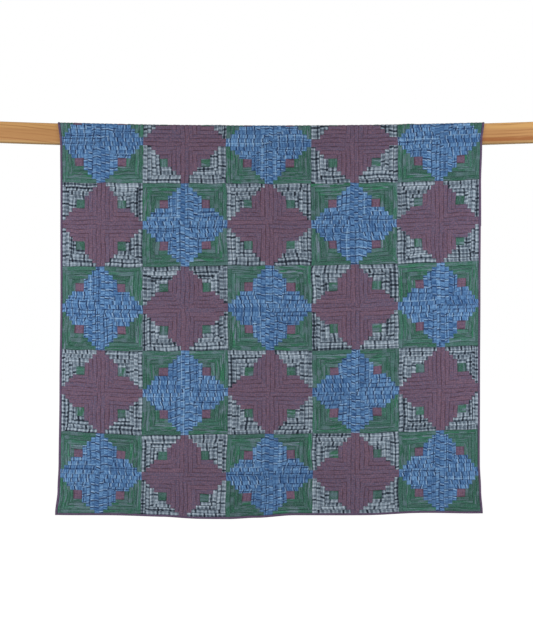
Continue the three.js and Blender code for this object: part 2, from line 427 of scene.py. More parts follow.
def add_piece(name, points, faces, materials=(), wears=None, maps=None, values=None):
    """A mesh object from arrays: points in millimetres, four corners to a face, the material
    that each face wears, its maps with a pair for each corner, and its values for each face."""
    mesh = bpy.data.meshes.new(name)
    points = np.asarray(points, float).reshape(-1, 3) * MM
    faces = np.asarray(faces).reshape(-1, 4)
    mesh.vertices.add(len(points))
    mesh.vertices.foreach_set("co", points.ravel())
    mesh.loops.add(faces.size)
    mesh.loops.foreach_set("vertex_index", faces.ravel().astype(np.int32))
    mesh.polygons.add(len(faces))
    mesh.polygons.foreach_set("loop_start", np.arange(0, faces.size, 4, dtype=np.int32))
    mesh.update(calc_edges=True)
    for material in materials:
        mesh.materials.append(material)
    if wears is not None:
        mesh.polygons.foreach_set("material_index", wears.astype(np.int32))
    for map_name, pairs in (maps or {}).items():
        layer = mesh.uv_layers.new(name=map_name)
        layer.uv.foreach_set("vector", np.asarray(pairs, np.float32).ravel())
    for value_name, triples in (values or {}).items():
        layer = mesh.attributes.new(value_name, "FLOAT_VECTOR", "FACE")
        layer.data.foreach_set("vector", np.asarray(triples, np.float32).ravel())
    mesh.polygons.foreach_set("use_smooth", np.ones(len(faces), bool))
    piece = bpy.data.objects.new(name, mesh)
    bpy.context.scene.collection.objects.link(piece)
    return piece


def grid_faces(rows, columns, start=0):
    """Faces of a grid of points, each going down a row first and then across, so that a grid
    that runs down and to +X in front faces -Y."""
    corner = start + np.arange(rows - 1)[:, None] * columns + np.arange(columns - 1)
    return np.stack([corner, corner + columns, corner + columns + 1, corner + 1], -1).reshape(-1, 4)


def sleeve_faces(stations, ring):
    """Faces of a closed ring of points carried past stations, with both ends closed by strips
    between the ring's two halves."""
    corner = np.arange(stations - 1)[:, None] * ring + np.arange(ring)
    after = np.arange(stations - 1)[:, None] * ring + (np.arange(ring) + 1) % ring
    sides = np.stack([corner, after, after + ring, corner + ring], -1).reshape(-1, 4)
    a = np.arange(ring // 2 - 1)
    first = np.stack([a, ring - 1 - a, ring - 2 - a, a + 1], -1)
    last = (stations - 1) * ring + first[:, ::-1]
    return np.concatenate([sides, first, last])


# Steps across one log, closer where the surface turns: the seam, the line of quilting midway,
# and two on the ridge to either side of it.
LOG_STEPS = np.array([0, 0.14, 0.32, 0.5, 0.68, 0.86])


def line_steps(lines):
    """The steps across a number of logs, as places on the plan."""
    return np.append((np.arange(lines)[:, None] + LOG_STEPS).ravel(), lines)


ALL_QUARTERS = ROWS * COLUMNS * QUARTERS
LOG_DRAWS = np.random.default_rng(5).random((ALL_QUARTERS * NUMBERS, 3))
QUARTER_DRAWS = np.random.default_rng(6).random((ALL_QUARTERS, 2))
PAIR_SPREAD = 0.8  # of where the pattern starts, between two pairs of logs of a quarter,
LOG_SPREAD = 0.08  # between the two logs of a pair cut from one strip,
ODD_SPREAD = 0.7  # and of a pair that was not
CUT_TOGETHER = 0.4  # share of the pairs cut from one strip


def log_cast(log):
    """Three numbers from 0 to 1 that set one log's look apart: where its pattern starts, its
    slant, and its tone. Two logs side by side were sometimes cut from one strip, and then the
    pattern starts nearly alike in both."""
    number, _, along_row, _ = log
    quarter = QUARTER_DRAWS[number // NUMBERS, along_row.astype(int)]
    round_number = number % NUMBERS // 4
    pair = number + 4 * ((round_number + 1) // 2 - round_number)
    draws = LOG_DRAWS[number]
    spread = np.where(LOG_DRAWS[pair, 1] < CUT_TOGETHER, LOG_SPREAD, ODD_SPREAD)
    start = quarter + PAIR_SPREAD * LOG_DRAWS[pair, 0] + spread * draws[..., 0]
    return np.stack([start, draws[..., 1], draws[..., 2]], -1)


RIM = 0.25  # the turned-down rim of a row, as lines on its maps
BAKE_MARGIN = 0.002


def strip_map(p, q, log):
    """Where each face's corners lie on the face's own log."""
    return np.stack(strip_place(p, q, tuple(part[:, None] for part in log)), -1)


def corner_pairs(first, second, faces):
    """A pair of values for each corner of each face, from two grids of them."""
    return np.stack([first.ravel()[faces], second.ravel()[faces]], -1)


def two_halves(p, q):
    """A square map of a row, for baking: its left half above its right half."""
    span = LINES * COLUMNS / 2
    right = p.mean(1, keepdims=True) > span
    u = np.where(right, p - span, p + RIM) / (span + RIM)
    v = (1 - (q + RIM) / (LINES + 2 * RIM)) * (1 - BAKE_MARGIN)
    v = (v + np.where(right, 0, 1 + BAKE_MARGIN)) / 2
    return BAKE_MARGIN + (1 - 2 * BAKE_MARGIN) * np.stack([u, v], -1)


def widen(x, down, reach, at_back, at_front):
    """Moves a grid's sides outwards, and its first and last rows where they lie at a hem."""
    x[:, 0] -= reach
    x[:, -1] += reach
    down[0] -= reach * at_back
    down[-1] += reach * at_front


def patchwork_row(row, materials):
    """One row of blocks, as a shallow tray: the quilted patchwork over the wadding, with a rim
    turned down all round it, which runs in under the binding at the quilt's edges."""
    p = line_steps(LINES * COLUMNS)
    q = LINES * row + line_steps(LINES)
    p_map, q_map = (np.concatenate([[at[0] - RIM], at, [at[-1] + RIM]]) for at in (p, q))
    p_grid, q_grid = np.meshgrid(np.clip(p_map, p[0], p[-1]), np.clip(q_map, q[0], q[-1]))
    x, down = lay(p_grid, q_grid)
    on_rim = np.ones(p_grid.shape, bool)
    on_rim[1:-1, 1:-1] = False
    widen(x, down, TUCKED, row == 0, row == ROWS - 1)
    from_side = HALF_WIDTH - BINDING_WIDTH - np.abs(x)
    from_hem = np.minimum(front_hem(x) - down, back_hem(x) + down) - BINDING_WIDTH
    free = ease(np.minimum(from_side, from_hem) / LOG)
    off = relief(p_grid, q_grid) + PUCKER * swell(x, down, PUCKER_LENGTH, 31)
    loft = EDGE_LOFT + (1 - EDGE_LOFT) * free
    off = np.where(on_rim, LINING_TOP, DITCH + (off - DITCH) * loft)
    faces = grid_faces(*p_grid.shape)
    corner_p = np.broadcast_to(p_map, p_grid.shape).ravel()[faces]
    corner_q = np.broadcast_to(q_map[:, None], p_grid.shape).ravel()[faces]
    log = plan(corner_p.mean(1).clip(p[0], p[-1]), corner_q.mean(1).clip(q[0], q[-1]))
    maps = {
        "Strip": strip_map(corner_p, corner_q, log),
        "Cloth": corner_pairs(x, down, faces) * MM,
        "OFBake": two_halves(corner_p, corner_q - LINES * row),
    }
    name = f"patchwork_row_{row}" if row else "patchwork_back_row"
    casts = {"log_cast": log_cast(log)}
    return add_piece(name, hang(x, down, off), faces, materials, log[1], maps, casts)


def quilt_lining(material):
    """The lining with its wadding, a thin slab just inside the patchwork: one grid along the
    log lines for its inner face, one for its outer, and a strip between their edges."""
    p_grid, q_grid = np.meshgrid(np.arange(LINES * COLUMNS + 1), np.arange(LINES * ROWS + 1))
    x, down = lay(p_grid, q_grid)
    widen(x, down, BINDING_WIDTH - SHEET_INSET, True, True)
    size = p_grid.size
    inner = grid_faces(*p_grid.shape)[:, ::-1]
    outer = grid_faces(*p_grid.shape, start=size)
    index = np.arange(size).reshape(p_grid.shape)
    rim = np.concatenate([index[0, :], index[1:, -1], index[-1, -2::-1], index[-2:0:-1, 0]])
    after = np.roll(rim, -1)
    edge = np.stack([rim, after, after + size, rim + size], -1)
    faces = np.concatenate([inner, outer, edge])
    points = np.stack([hang(x, down, LINING), hang(x, down, LINING_TOP)])
    corners = faces % size
    corner_p, corner_q = p_grid.ravel()[corners], q_grid.ravel()[corners]
    log = plan(corner_p.mean(1), corner_q.mean(1))
    maps = {
        "Strip": strip_map(corner_p, corner_q, log),
        "Cloth": corner_pairs(x, down, corners) * MM,
    }
    return add_piece("quilt_lining", points, faces, [material], None, maps)


def binding_outline():
    """A binding's section as a ring: a strip folded round the sheet's edge, as a half circle
    with two arms that are pressed down at their stitched edges. The outer half of the ring runs
    from the back arm's edge to the front arm's, and the inner half runs back."""
    radius = BINDING_INSIDE + BINDING_CLOTH / 2
    arm = BINDING_WIDTH - radius - BINDING_CLOTH / 2
    at = np.linspace(0, 1, BINDING_STEPS) * (2 * arm + np.pi * radius)
    angle = np.clip((at - arm) / radius, 0, np.pi)
    inwards = radius + BINDING_CLOTH / 2 - radius * np.sin(angle)
    inwards = inwards + np.maximum(arm - at, 0) + np.maximum(at - arm - np.pi * radius, 0)
    off = -radius * np.cos(angle)
    lap = ease((inwards - BINDING_WIDTH + BINDING_LAP) / BINDING_LAP)
    off = off - np.sign(off) * BINDING_PRESS * (lap - hump(inwards - BINDING_FULL, FULL_REACH))
    way = np.stack([-np.sin(angle), -np.cos(angle)])  # outwards from the fold's middle
    outer = np.stack([inwards, off]) + way * BINDING_CLOTH / 2
    inner = np.stack([inwards, off]) - way * BINDING_CLOTH / 2
    ring = np.concatenate([outer, inner[:, ::-1]], axis=1)
    return ring[0], ring[1], np.append(at, at[::-1])


def side_place(side, inwards, station):
    """A place on a side's binding: inwards from the side, and from the back hem to the front one
    by the station's share of the quilt's length."""
    x = side * (HALF_WIDTH - inwards)
    start = -back_hem(x)
    return x, start + (front_hem(x) - start) * station / QUILT_LENGTH


def hem_place(side, inwards, station):
    """A place on a hem's binding, in front for a side of 1 and behind for -1: inwards from the
    hem, and across the quilt to the station."""
    return station, front_hem(station) - inwards if side > 0 else inwards - back_hem(station)


def binding_strip(name, place, side, stations, material):
    """A strip of binding: its section carried past stations. Its edges waver a little, and it
    puffs between its stitches."""
    inwards, off, around = binding_outline()
    along, across = np.broadcast_arrays(stations[:, None], around)
    waver = BINDING_WAVER * swell(along, 8 * across, WAVER_LENGTH, 41)
    x, down = place(side, inwards + waver * (inwards / BINDING_WIDTH), along)
    puff = 1 + BINDING_PUFF * swell(along, 5 * across, PUFF_LENGTH, 42)
    faces = sleeve_faces(*along.shape)
    maps = {
        "Strip": corner_pairs(along / LOG, across / around.max(), faces),
        "Cloth": corner_pairs(along, across, faces) * MM,
    }
    return add_piece(name, hang(x, down, off * puff), faces, [material], None, maps)


def bindings(material):
    """The four strips, by the node that each stands for: one down each side, from hem to hem,
    and one along each hem between. A strip runs the way that turns its faces outwards."""
    down = np.linspace(0, QUILT_LENGTH, QUILT_LENGTH // BINDING_STATION + 1)
    end = HALF_WIDTH - BINDING_WIDTH - 2 * GAP
    across = np.linspace(-end, end, int(2 * end / BINDING_STATION) + 1)
    strips = {
        "left_binding": ("left_binding_strip", side_place, -1, down),
        "right_binding": ("right_binding_strip", side_place, 1, down[::-1]),
        "front_hem_binding": ("front_hem_strip", hem_place, 1, across),
        "back_hem_binding": ("back_hem_strip", hem_place, -1, across[::-1]),
    }
    return {node: binding_strip(*strip, material) for node, strip in strips.items()}


def planed_rail(material):
    """The rail: a rectangle with eased corners, each a quarter circle, carried along its bow.
    Grain follows the bow, so its place in the timber is kept with each point."""
    bevel = 0.8  # round each sawn end
    angle = np.radians(np.linspace(0, 90, 7) + np.array([-90, 0, 90, 180])[:, None])
    side = np.array([1, 1, -1, -1])[:, None]
    level = np.array([-1, 1, 1, -1])[:, None]
    y = (side * HALF_TOP + RAIL_EASING * np.cos(angle)).ravel()
    z = (level * (RAIL_HEIGHT / 2 - RAIL_EASING) + RAIL_EASING * np.sin(angle)).ravel()
    half = RAIL_LENGTH / 2
    x = np.concatenate([[-half], np.linspace(-half + bevel, half - bevel, 120), [half]])
    shrink = np.ones(len(x))
    shrink[[0, -1]] = 1 - 2 * bevel / RAIL_HEIGHT
    points = np.empty((len(x), len(y), 3))
    points[..., 0] = x[:, None]
    points[..., 1] = shrink[:, None] * y
    points[..., 2] = shrink[:, None] * z
    timber = points * MM
    points[..., 2] += rail_top(x)[:, None] - RAIL_HEIGHT / 2
    piece = add_piece("planed_rail", points, sleeve_faces(len(x), len(y)), [material])
    layer = piece.data.attributes.new("timber", "FLOAT_VECTOR", "POINT")
    layer.data.foreach_set("vector", timber.astype(np.float32).ravel())
    return piece


# ---------- node helpers


def srgb(red, green, blue):
    """A colour given as it looks on a screen, 0 to 255, turned into the light that it stands for."""
    share = np.array([red, green, blue]) / 255
    light = np.where(share <= 0.04045, share / 12.92, ((share + 0.055) / 1.055) ** 2.4)
    return (*light.tolist(), 1.0)


class Nodes:
    """Adds nodes to a tree and links them; each method returns the socket that it makes."""

    def __init__(self, tree):
        """Keeps the tree that the nodes go in."""
        self.tree = tree

    def node(self, kind, **settings):
        """A new node of a kind, with its settings."""
        made = self.tree.nodes.new("ShaderNode" + kind)
        for key, value in settings.items():
            setattr(made, key, value)
        return made

    def put(self, socket, value):
        """Links a socket to another, or sets its own value."""
        if isinstance(value, bpy.types.NodeSocket):
            self.tree.links.new(value, socket)
        else:
            socket.default_value = value

    def fill(self, made, *values):
        """Puts values in a node's first sockets and returns its first output."""
        for socket, value in zip(made.inputs, values):
            self.put(socket, value)
        return made.outputs[0]

    def wire(self, made, **values):
        """Puts values in a node's sockets by name, _ for a blank, and returns its outputs."""
        for name, value in values.items():
            self.put(made.inputs[name.replace("_", " ")], value)
        return made.outputs

    def math(self, operation, *values):
        """One sum by its usual name."""
        return self.fill(self.node("Math", operation=operation), *values)

    def add(self, *values):
        """The sum of all the values."""
        total = values[0]
        for value in values[1:]:
            total = self.math("ADD", total, value)
        return total

    def times(self, *values):
        """The product of all the values."""
        total = values[0]
        for value in values[1:]:
            total = self.math("MULTIPLY", total, value)
        return total

    def step(self, value, low, high):
        """0 below low and 1 above high, eased between; falls instead if high is below low."""
        made = self.node("MapRange", interpolation_type="SMOOTHSTEP")
        if high >= low:
            return self.fill(made, value, low, high, 0.0, 1.0)
        return self.fill(made, value, high, low, 1.0, 0.0)

    def scale(self, value, low, high):
        """Turns a share from 0 to 1 into a number from low to high."""
        return self.fill(self.node("MapRange"), value, 0.0, 1.0, low, high)

    def away(self, value, middle):
        """How far a value lies from the middle, without its sign."""
        return self.math("ABSOLUTE", self.math("SUBTRACT", value, middle))

    def band(self, value, middle, half, soft):
        """1 within a half width of the middle, falling to 0 over the soft edge."""
        return self.step(self.away(value, middle), half + soft, half)

    def layers(self, colour, *tints):
        """Lays tints over a colour in turn, each given as its mask, its greatest share and its
        red, green and blue."""
        for mask, share, *tint in tints:
            colour = self.mix(self.times(mask, share), colour, srgb(*tint))
        return colour

    def bump(self, height, distance, strength):
        """The normal of a surface raised by a height."""
        made = self.node("Bump")
        return self.wire(made, Height=height, Distance=distance, Strength=strength)[0]

    def seen(self):
        """1 where a ray comes from the camera, straight or by way of gloss or glass."""
        light = self.node("LightPath").outputs
        direct = self.math("MAXIMUM", light["Is Camera Ray"], light["Is Glossy Ray"])
        return self.math("MAXIMUM", direct, light["Is Transmission Ray"])

    def vector(self, x=0.0, y=0.0, z=0.0):
        """Three numbers as one place."""
        return self.fill(self.node("CombineXYZ"), x, y, z)

    def parts(self, place):
        """A place's three numbers."""
        return tuple(self.wire(self.node("SeparateXYZ"), Vector=place))

    def noise(self, place, scale, detail=2.0):
        """Soft noise about 0.5, with lumps one unit long at a scale of 1."""
        made = self.node("TexNoise", noise_dimensions="3D")
        return self.wire(made, Vector=place, Scale=scale, Detail=detail)["Fac"]

    def lumps(self, *numbers, detail=2.0):
        """Soft noise about 0.5, with lumps one unit long, by up to three numbers. A number in a
        pair is multiplied by the other first."""
        place = [self.times(*pair) if isinstance(pair, tuple) else pair for pair in numbers]
        return self.noise(self.vector(*place), 1.0, detail)

    def chance(self, *place):
        """A number from 0 to 1 for each whole place, unlike its neighbours'."""
        made = self.node("TexWhiteNoise", noise_dimensions="3D")
        return self.wire(made, Vector=self.vector(*place))["Value"]

    def mix(self, share, first, second):
        """A colour that goes from the first to the second."""
        made = self.node("Mix", data_type="RGBA")
        for socket, value in ((0, share), (6, first), (7, second)):
            self.put(made.inputs[socket], value)
        return made.outputs[2]

    def ramp(self, value, stops):
        """A colour read off a row of stops by a value from 0 to 1. Each stop has its place and
        its red, green and blue, or one number for a grey."""
        made = self.node("ValToRGB")
        elements = made.color_ramp.elements
        for place, _ in stops[1:-1]:
            elements.new(place)
        for element, (place, colour) in zip(elements, stops):
            element.position = place
            element.color = srgb(*colour) if isinstance(colour, tuple) else (*[colour] * 3, 1)
        return self.fill(made, value)



def new_material(name):
    """A new material, and the helper for its nodes."""
    material = bpy.data.materials.new(name)
    material.use_nodes = True
    return material, Nodes(material.node_tree)


def new_group(name, inputs, outputs):
    """An empty node group with its named inputs, given with their values, and outputs."""
    tree = bpy.data.node_groups.new(name, "ShaderNodeTree")
    for title, value in inputs.items():
        kind = "NodeSocketVector" if isinstance(value, tuple) else "NodeSocketFloat"
        socket = tree.interface.new_socket(title, in_out="INPUT", socket_type=kind)
        socket.default_value = value
    for title in outputs:
        tree.interface.new_socket(title, in_out="OUTPUT", socket_type="NodeSocketFloat")
    given = tree.nodes.new("NodeGroupInput").outputs
    results = tree.nodes.new("NodeGroupOutput").inputs
    return tree, Nodes(tree), given, results


# ---------- shared effects


def quilting_group():
    """Hand quilting on one strip. Masks for the seam ditches at its edges, deeper in some places
    than others, for the channel along its middle, and for the running stitches in the channel,
    and the height that they make together."""
    tree, n, given, results = new_group(
        "Hand quilting",
        {"Along": 0.0, "Across": 0.5, "Stitch Length": 0.42, "Seed": 0.0},
        ["Ditch", "Channel", "Stitch", "Height"],
    )
    along, across = given["Along"], given["Across"]
    seed = n.times(given["Seed"], 57.0)
    from_edge = n.math("MINIMUM", across, n.math("SUBTRACT", 1.0, across))
    pressed = n.lumps((along, 0.5), (across, 0.7), seed)
    width = n.scale(pressed, 0.1, 0.36)
    ditch = n.step(n.math("DIVIDE", from_edge, width), 1.0, 0.0)
    ditch = n.times(ditch, n.step(pressed, 0.3, 0.62))
    wander = n.scale(n.noise(n.vector(along, seed), 0.7, 1.0), -0.05, 0.05)
    off_middle = n.away(n.add(across, wander), 0.5)
    drawn = n.lumps((along, 0.4), 4.0, seed, detail=1.0)
    channel = n.times(n.step(off_middle, 0.1, 0.0), n.step(drawn, 0.3, 0.65))
    place = n.math("FRACT", n.math("DIVIDE", n.add(along, seed), given["Stitch Length"]))
    stitch = n.times(n.band(place, 0.5, 0.24, 0.08), n.step(off_middle, 0.03, 0.018))
    hollow = n.times(n.band(place, 0.5, 0.32, 0.2), channel, -0.35)
    height = n.add(n.times(ditch, -0.7), n.times(channel, -0.4), hollow, n.times(stitch, 0.3))
    for socket, value in zip(results, (ditch, channel, stitch, height)):
        n.put(socket, value)
    return tree


def weave_group():
    """Plain weave of handspun cotton: threads that pass over and under each other in turn, each
    a sine across, thicker and thinner by place. Its height, and a shade for each thread."""
    tree, n, given, results = new_group(
        "Plain weave",
        {"Place": (0.0, 0.0, 0.0), "Threads per Metre": 1100.0, "Unevenness": 0.5},
        ["Height", "Warp Shade", "Weft Shade"],
    )
    u, v, _ = n.parts(given["Place"])
    bend = n.scale(n.noise(given["Place"], 60.0, 1.0), -0.0006, 0.0006)
    warp_at, weft_at = (n.times(n.add(at, bend), given["Threads per Metre"]) for at in (u, v))
    warp, weft = (n.math("ABSOLUTE", n.math("SINE", n.times(at, np.pi))) for at in (warp_at, weft_at))
    turn = n.add(n.math("FLOOR", warp_at), n.math("FLOOR", weft_at), 0.5)
    over = n.step(n.math("SINE", n.times(turn, np.pi)), -0.5, 0.5)
    height = n.add(n.times(warp, over), n.times(weft, n.math("SUBTRACT", 1.0, over)))
    slub = n.noise(given["Place"], 700.0)
    height = n.add(height, n.times(n.scale(slub, -1.0, 1.0), given["Unevenness"]))
    warp_shade = n.lumps((u, 500.0), (v, 12.0), 1.0)
    weft_shade = n.lumps((v, 500.0), (u, 12.0), 2.0)
    n.put(results["Height"], height)
    n.put(results["Warp Shade"], n.step(warp_shade, 0.3, 0.7))
    n.put(results["Weft Shade"], n.step(weft_shade, 0.3, 0.7))
    return tree


def streak_group():
    """Streaks that run along a strip: noise stretched along it, drawn anew for each strip."""
    tree, n, given, results = new_group(
        "Lengthwise streaks",
        {"Along": 0.0, "Across": 0.0, "Length": 6.0, "Width": 0.3, "Seed": 0.0},
        ["Streak"],
    )
    place = n.vector(
        n.math("DIVIDE", given["Along"], given["Length"]),
        n.math("DIVIDE", given["Across"], given["Width"]),
        n.times(given["Seed"], 91.0),
    )
    n.put(results["Streak"], n.step(n.noise(place, 1.0), 0.32, 0.68))
    return tree


quilting = quilting_group()
weave = weave_group()
streaks = streak_group()

# ---------- the fabrics


class Cloth(Nodes):
    """A cotton's material: its maps and its log's own numbers, ready to colour, and the shader
    with the weave and quilting in its bump."""

    def __init__(self, name):
        """Makes the material, and reads its maps, its log's numbers and the shared effects."""
        self.material, nodes = new_material(name)
        super().__init__(nodes.tree)
        strip = self.node("UVMap", uv_map="Strip").outputs[0]
        self.place = self.node("UVMap", uv_map="Cloth").outputs[0]
        self.along, self.across, _ = self.parts(strip)
        cast = self.node("Attribute", attribute_name="log_cast").outputs["Vector"]
        self.start, self.slant, self.tone = self.parts(cast)
        group = self.node("Group", node_tree=quilting)
        self.quilting = self.wire(group, Along=self.along, Across=self.across, Seed=self.tone)
        self.weave = self.wire(self.node("Group", node_tree=weave), Place=self.place)

    def streak(self, length, width, seed):
        """A streak along the log, from 0 to 1."""
        made = self.node("Group", node_tree=streaks)
        self.wire(made, Along=self.along, Across=self.across, Seed=self.add(self.tone, seed))
        return self.wire(made, Length=length, Width=width)["Streak"]

    def speckle(self, scale, seed):
        """Fine noise over the cloth, from 0 to 1."""
        x, y, _ = self.parts(self.place)
        return self.step(self.noise(self.vector(x, y, float(seed)), scale), 0.32, 0.68)

    def lean(self, most):
        """How far along the log its pattern is carried at a place across it: from the middle, up
        to a greatest slant either way."""
        return self.times(self.math("SUBTRACT", self.across, 0.5), self.scale(self.slant, -most, most))

    def finish(self, colour, shadow, quilted=1.0):
        """Paints shade into the colour, darkening it towards the shadow colour in the seams and
        channels, and wires up the shader.
        """
        # Painted shade: the ditch and channel masks darken the colour itself, where shade falls in the
        # seams and the line of quilting.
        colour = self.mix(self.times(self.quilting["Ditch"], 0.75 * quilted), colour, shadow)
        colour = self.mix(self.times(self.quilting["Channel"], 0.3 * quilted), colour, shadow)
        quilting_height = self.times(self.quilting["Height"], 0.8 * quilted)
        height = self.add(quilting_height, self.times(self.weave["Height"], 0.06))
        shader = self.tree.nodes["Principled BSDF"]
        self.wire(shader, Base_Color=colour, Normal=self.bump(height, 0.0012, 0.6))
        self.wire(shader, Roughness=0.92, Specular_IOR_Level=0.25)
        self.wire(shader, Sheen_Weight=0.1, Sheen_Roughness=0.5)
        return self.material


DASH_PITCH = 1.915  # between the blue cloth's dashes, in log widths

# The blue cloth's yarns, from the middle of one pale dash to that of the next: where each one
# starts and ends, and its colour.
YARNS = (
    (0.000, 0.042, (166, 198, 230)),
    (0.062, 0.205, (0, 6, 36)),
    (0.235, 0.300, (102, 146, 193)),
    (0.328, 0.422, (96, 139, 185)),
    (0.453, 0.547, (67, 110, 159)),
    (0.578, 0.672, (105, 149, 195)),
    (0.703, 0.797, (69, 112, 161)),
    (0.828, 0.922, (58, 101, 151)),
    (0.947, 1.000, (166, 198, 230)),
)


def dashed_blue():
    """Blue cotton with short pale dashes, each with a navy one beside it, dyed in the yarn
    before weaving, so that they lie across each log, lean and fray a little. Some logs show a
    pale or navy line along them."""
    c = Cloth("dashed_blue_cotton")
    own = c.times(c.tone, 70.0)
    fray = c.scale(c.lumps(own, (c.across, 6.0), c.along, detail=1.0), -0.07, 0.07)
    lean = c.lean(0.32)
    turns = c.add(c.math("DIVIDE", c.add(c.along, fray, lean), DASH_PITCH), c.start)
    turned = c.scale(c.math("GREATER_THAN", c.chance(own, 3.0), 0.55), 1.0, -1.0)
    turns = c.times(turns, turned)
    one_dash = c.chance(c.math("FLOOR", turns), c.times(c.tone, 900.0), c.times(c.slant, 900.0))
    reach = c.band(c.math("SUBTRACT", c.across, c.scale(one_dash, -0.2, 0.2)), 0.5, 0.5, 0.12)
    strength = c.times(c.scale(reach, 0.6, 1.0), c.scale(one_dash, 0.72, 1.2))
    place = c.math("FRACT", turns)
    stops = [(end, yarn) for *ends, yarn in YARNS for end in ends]
    fine = c.lumps((c.add(c.along, lean), 3.1), (c.across, 0.7), own)
    navy = c.times(c.band(place, 0.135, 0.05, 0.04), strength)
    specks = c.lumps((c.along, 1.6), own, detail=1.0)
    line = c.band(c.across, c.scale(c.chance(own, 5.0), 0.1, 0.9), 0.07, 0.08)
    line = c.times(line, c.scale(c.step(specks, 0.42, 0.56), 0.35, 1.0))
    colour = c.layers(
        c.mix(strength, srgb(60, 102, 150), c.ramp(place, stops)),
        (c.step(fine, 0.5, 0.63), 0.66, 128, 170, 213),
        (c.step(fine, 0.5, 0.36), 0.68, 10, 44, 92),
        (c.speckle(210.0, 3), 0.16, 36, 78, 128),
        (c.streak(4.0, 0.5, 0.2), 0.12, 104, 144, 186),
        (c.times(c.tone, c.tone), 0.5, 34, 76, 126),
        (c.times(c.slant, c.slant), 0.3, 108, 148, 190),
        (navy, 0.5, 2, 22, 66),
        (c.times(line, c.band(c.slant, 0.54, 0.04, 0.02)), 0.6, 152, 188, 221),
        (c.times(line, c.step(c.slant, 0.64, 0.68)), 0.95, 2, 28, 70),
    )
    # The last colour is the painted shade of the seams and channels.
    return c.finish(colour, srgb(40, 68, 108), quilted=0.75)


CHECK_REPEAT = 2.9  # of the checked cloth both ways, in log widths

# A thread's lightness across half a repeat, from the pale line midway to the black bar.
CHECK_THREAD = (
    (0.00, 0.84),
    (0.09, 0.80),
    (0.20, 0.51),
    (0.50, 0.51),
    (0.61, 0.86),
    (0.76, 0.86),
    (0.85, 0.48),
    (0.91, 0.0),
    (1.00, 0.0),
)
CHECK_SHADES = (
    (0.00, (15, 24, 36)),
    (0.22, (52, 65, 79)),
    (0.44, (94, 108, 122)),
    (0.70, (144, 159, 173)),
    (1.00, (192, 205, 217)),
)


def black_white_check():
    """A check of black bars, with pale lines beside and between them, woven alike both ways. A
    log shows a different part of it from its neighbour."""
    c = Cloth("black_white_check_cotton")
    own = c.times(c.tone, 33.0)
    wobble = c.scale(c.noise(c.vector(c.along, c.times(c.across, 0.6), own), 0.8, 1.0), -0.14, 0.14)
    along = c.math("DIVIDE", c.add(c.along, wobble, c.lean(0.25)), CHECK_REPEAT)
    across = c.math("DIVIDE", c.add(c.across, wobble), CHECK_REPEAT)
    bars = (c.add(along, c.start), 0.56, 11.2), (c.add(across, c.times(c.slant, 7.0)), 0.44, 8.8)
    shade = 0.0
    for turns, weight, seed in bars:
        from_pale = c.away(c.math("FRACT", turns), 0.5)
        thread = c.ramp(c.times(from_pale, 2.0), CHECK_THREAD)
        darkest = c.scale(c.chance(c.math("ROUND", turns), own, seed), -0.5, 0.15)
        shade = c.add(shade, c.times(c.scale(thread, darkest, 1.0), weight))
    slubs = c.lumps((c.along, 3.2), (c.across, 3.2), own)
    shade = c.add(shade, c.scale(slubs, -0.24, 0.24), c.scale(c.tone, -0.07, 0.07))
    # The last colour is the painted shade of the seams and channels.
    return c.finish(c.ramp(shade, CHECK_SHADES), srgb(38, 47, 58))


def streaked_green(name, deep, bright):
    """Green cotton, streaked dark and pale along each log, and greyer in soft patches."""
    c = Cloth(name)
    grey = c.lumps((c.along, 0.45), (c.tone, 60.0), (c.slant, 60.0))
    colour = c.layers(
        c.mix(c.streak(10.0, 0.42, 0.1), deep, bright),
        (c.step(c.streak(7.0, 0.5, 0.45), 0.5, 0.85), 0.7, 90, 118, 130),
        (c.step(c.streak(3.0, 0.4, 0.8), 0.56, 0.74), 0.95, 148, 156, 184),
        (c.streak(12.0, 0.2, 0.6), 0.8, 8, 56, 40),
        (c.tone, 0.74, 22, 60, 50),
        (c.times(c.slant, c.slant), 0.4, 76, 126, 116),
        (c.step(grey, 0.54, 0.68), 0.58, 112, 126, 146),
        (c.speckle(230.0, 2), 0.5, 30, 74, 60),
        (c.speckle(200.0, 7), 0.4, 98, 138, 130),
    )
    # The last colour is the painted shade of the seams and channels.
    return c.finish(colour, srgb(22, 48, 44))


PLUM_RIB = 0.52  # between the plum cloth's faint ribs, in log widths


def ribbed_plum(name, red, blue):
    """Plum cotton, a little redder or bluer from log to log, with faint broken ribs across it and
    fine specks of its weave."""
    c = Cloth(name)
    turns = c.add(c.math("DIVIDE", c.along, PLUM_RIB), c.times(c.tone, 40.0))
    rib = c.band(c.math("FRACT", turns), 0.5, 0.12, 0.2)
    uneven = c.lumps((c.along, 0.7), (c.across, 1.5), (c.tone, 80.0))
    colour = c.layers(
        c.mix(c.tone, red, blue),
        (c.slant, 0.55, 86, 72, 88),
        (c.streak(3.0, 0.35, 0.3), 0.42, 80, 64, 84),
        (c.times(rib, c.step(uneven, 0.4, 0.6)), 0.65, 90, 62, 70),
        (c.speckle(130.0, 4), 0.56, 150, 112, 128),
        (c.speckle(190.0, 9), 0.5, 84, 84, 120),
        (c.speckle(260.0, 12), 0.35, 76, 60, 76),
    )
    # The last colour is the painted shade of the seams and channels.
    return c.finish(colour, srgb(58, 30, 40))


def plain_plum(name, first, second, quilted):
    """Plain dark plum cotton, for the binding and the lining."""
    c = Cloth(name)
    colour = c.layers(
        c.mix(c.speckle(90.0, 1), first, second),
        (c.weave["Warp Shade"], 0.25, 96, 78, 100),
        (c.weave["Weft Shade"], 0.2, 66, 50, 70),
    )
    # The last colour is the painted shade of the seams and channels, which the lining shows and the
    # binding, quilted at 0, does not.
    return c.finish(colour, srgb(44, 32, 48), quilted)


# Of the rail's wood, in metres.
RING = 0.0135  # from one growth line to the next
PITH_DEPTH = 0.13  # of the tree's middle below the rail's own
SAWN_FROM = 1.2186  # from the rail's middle to its sawn ends' wood


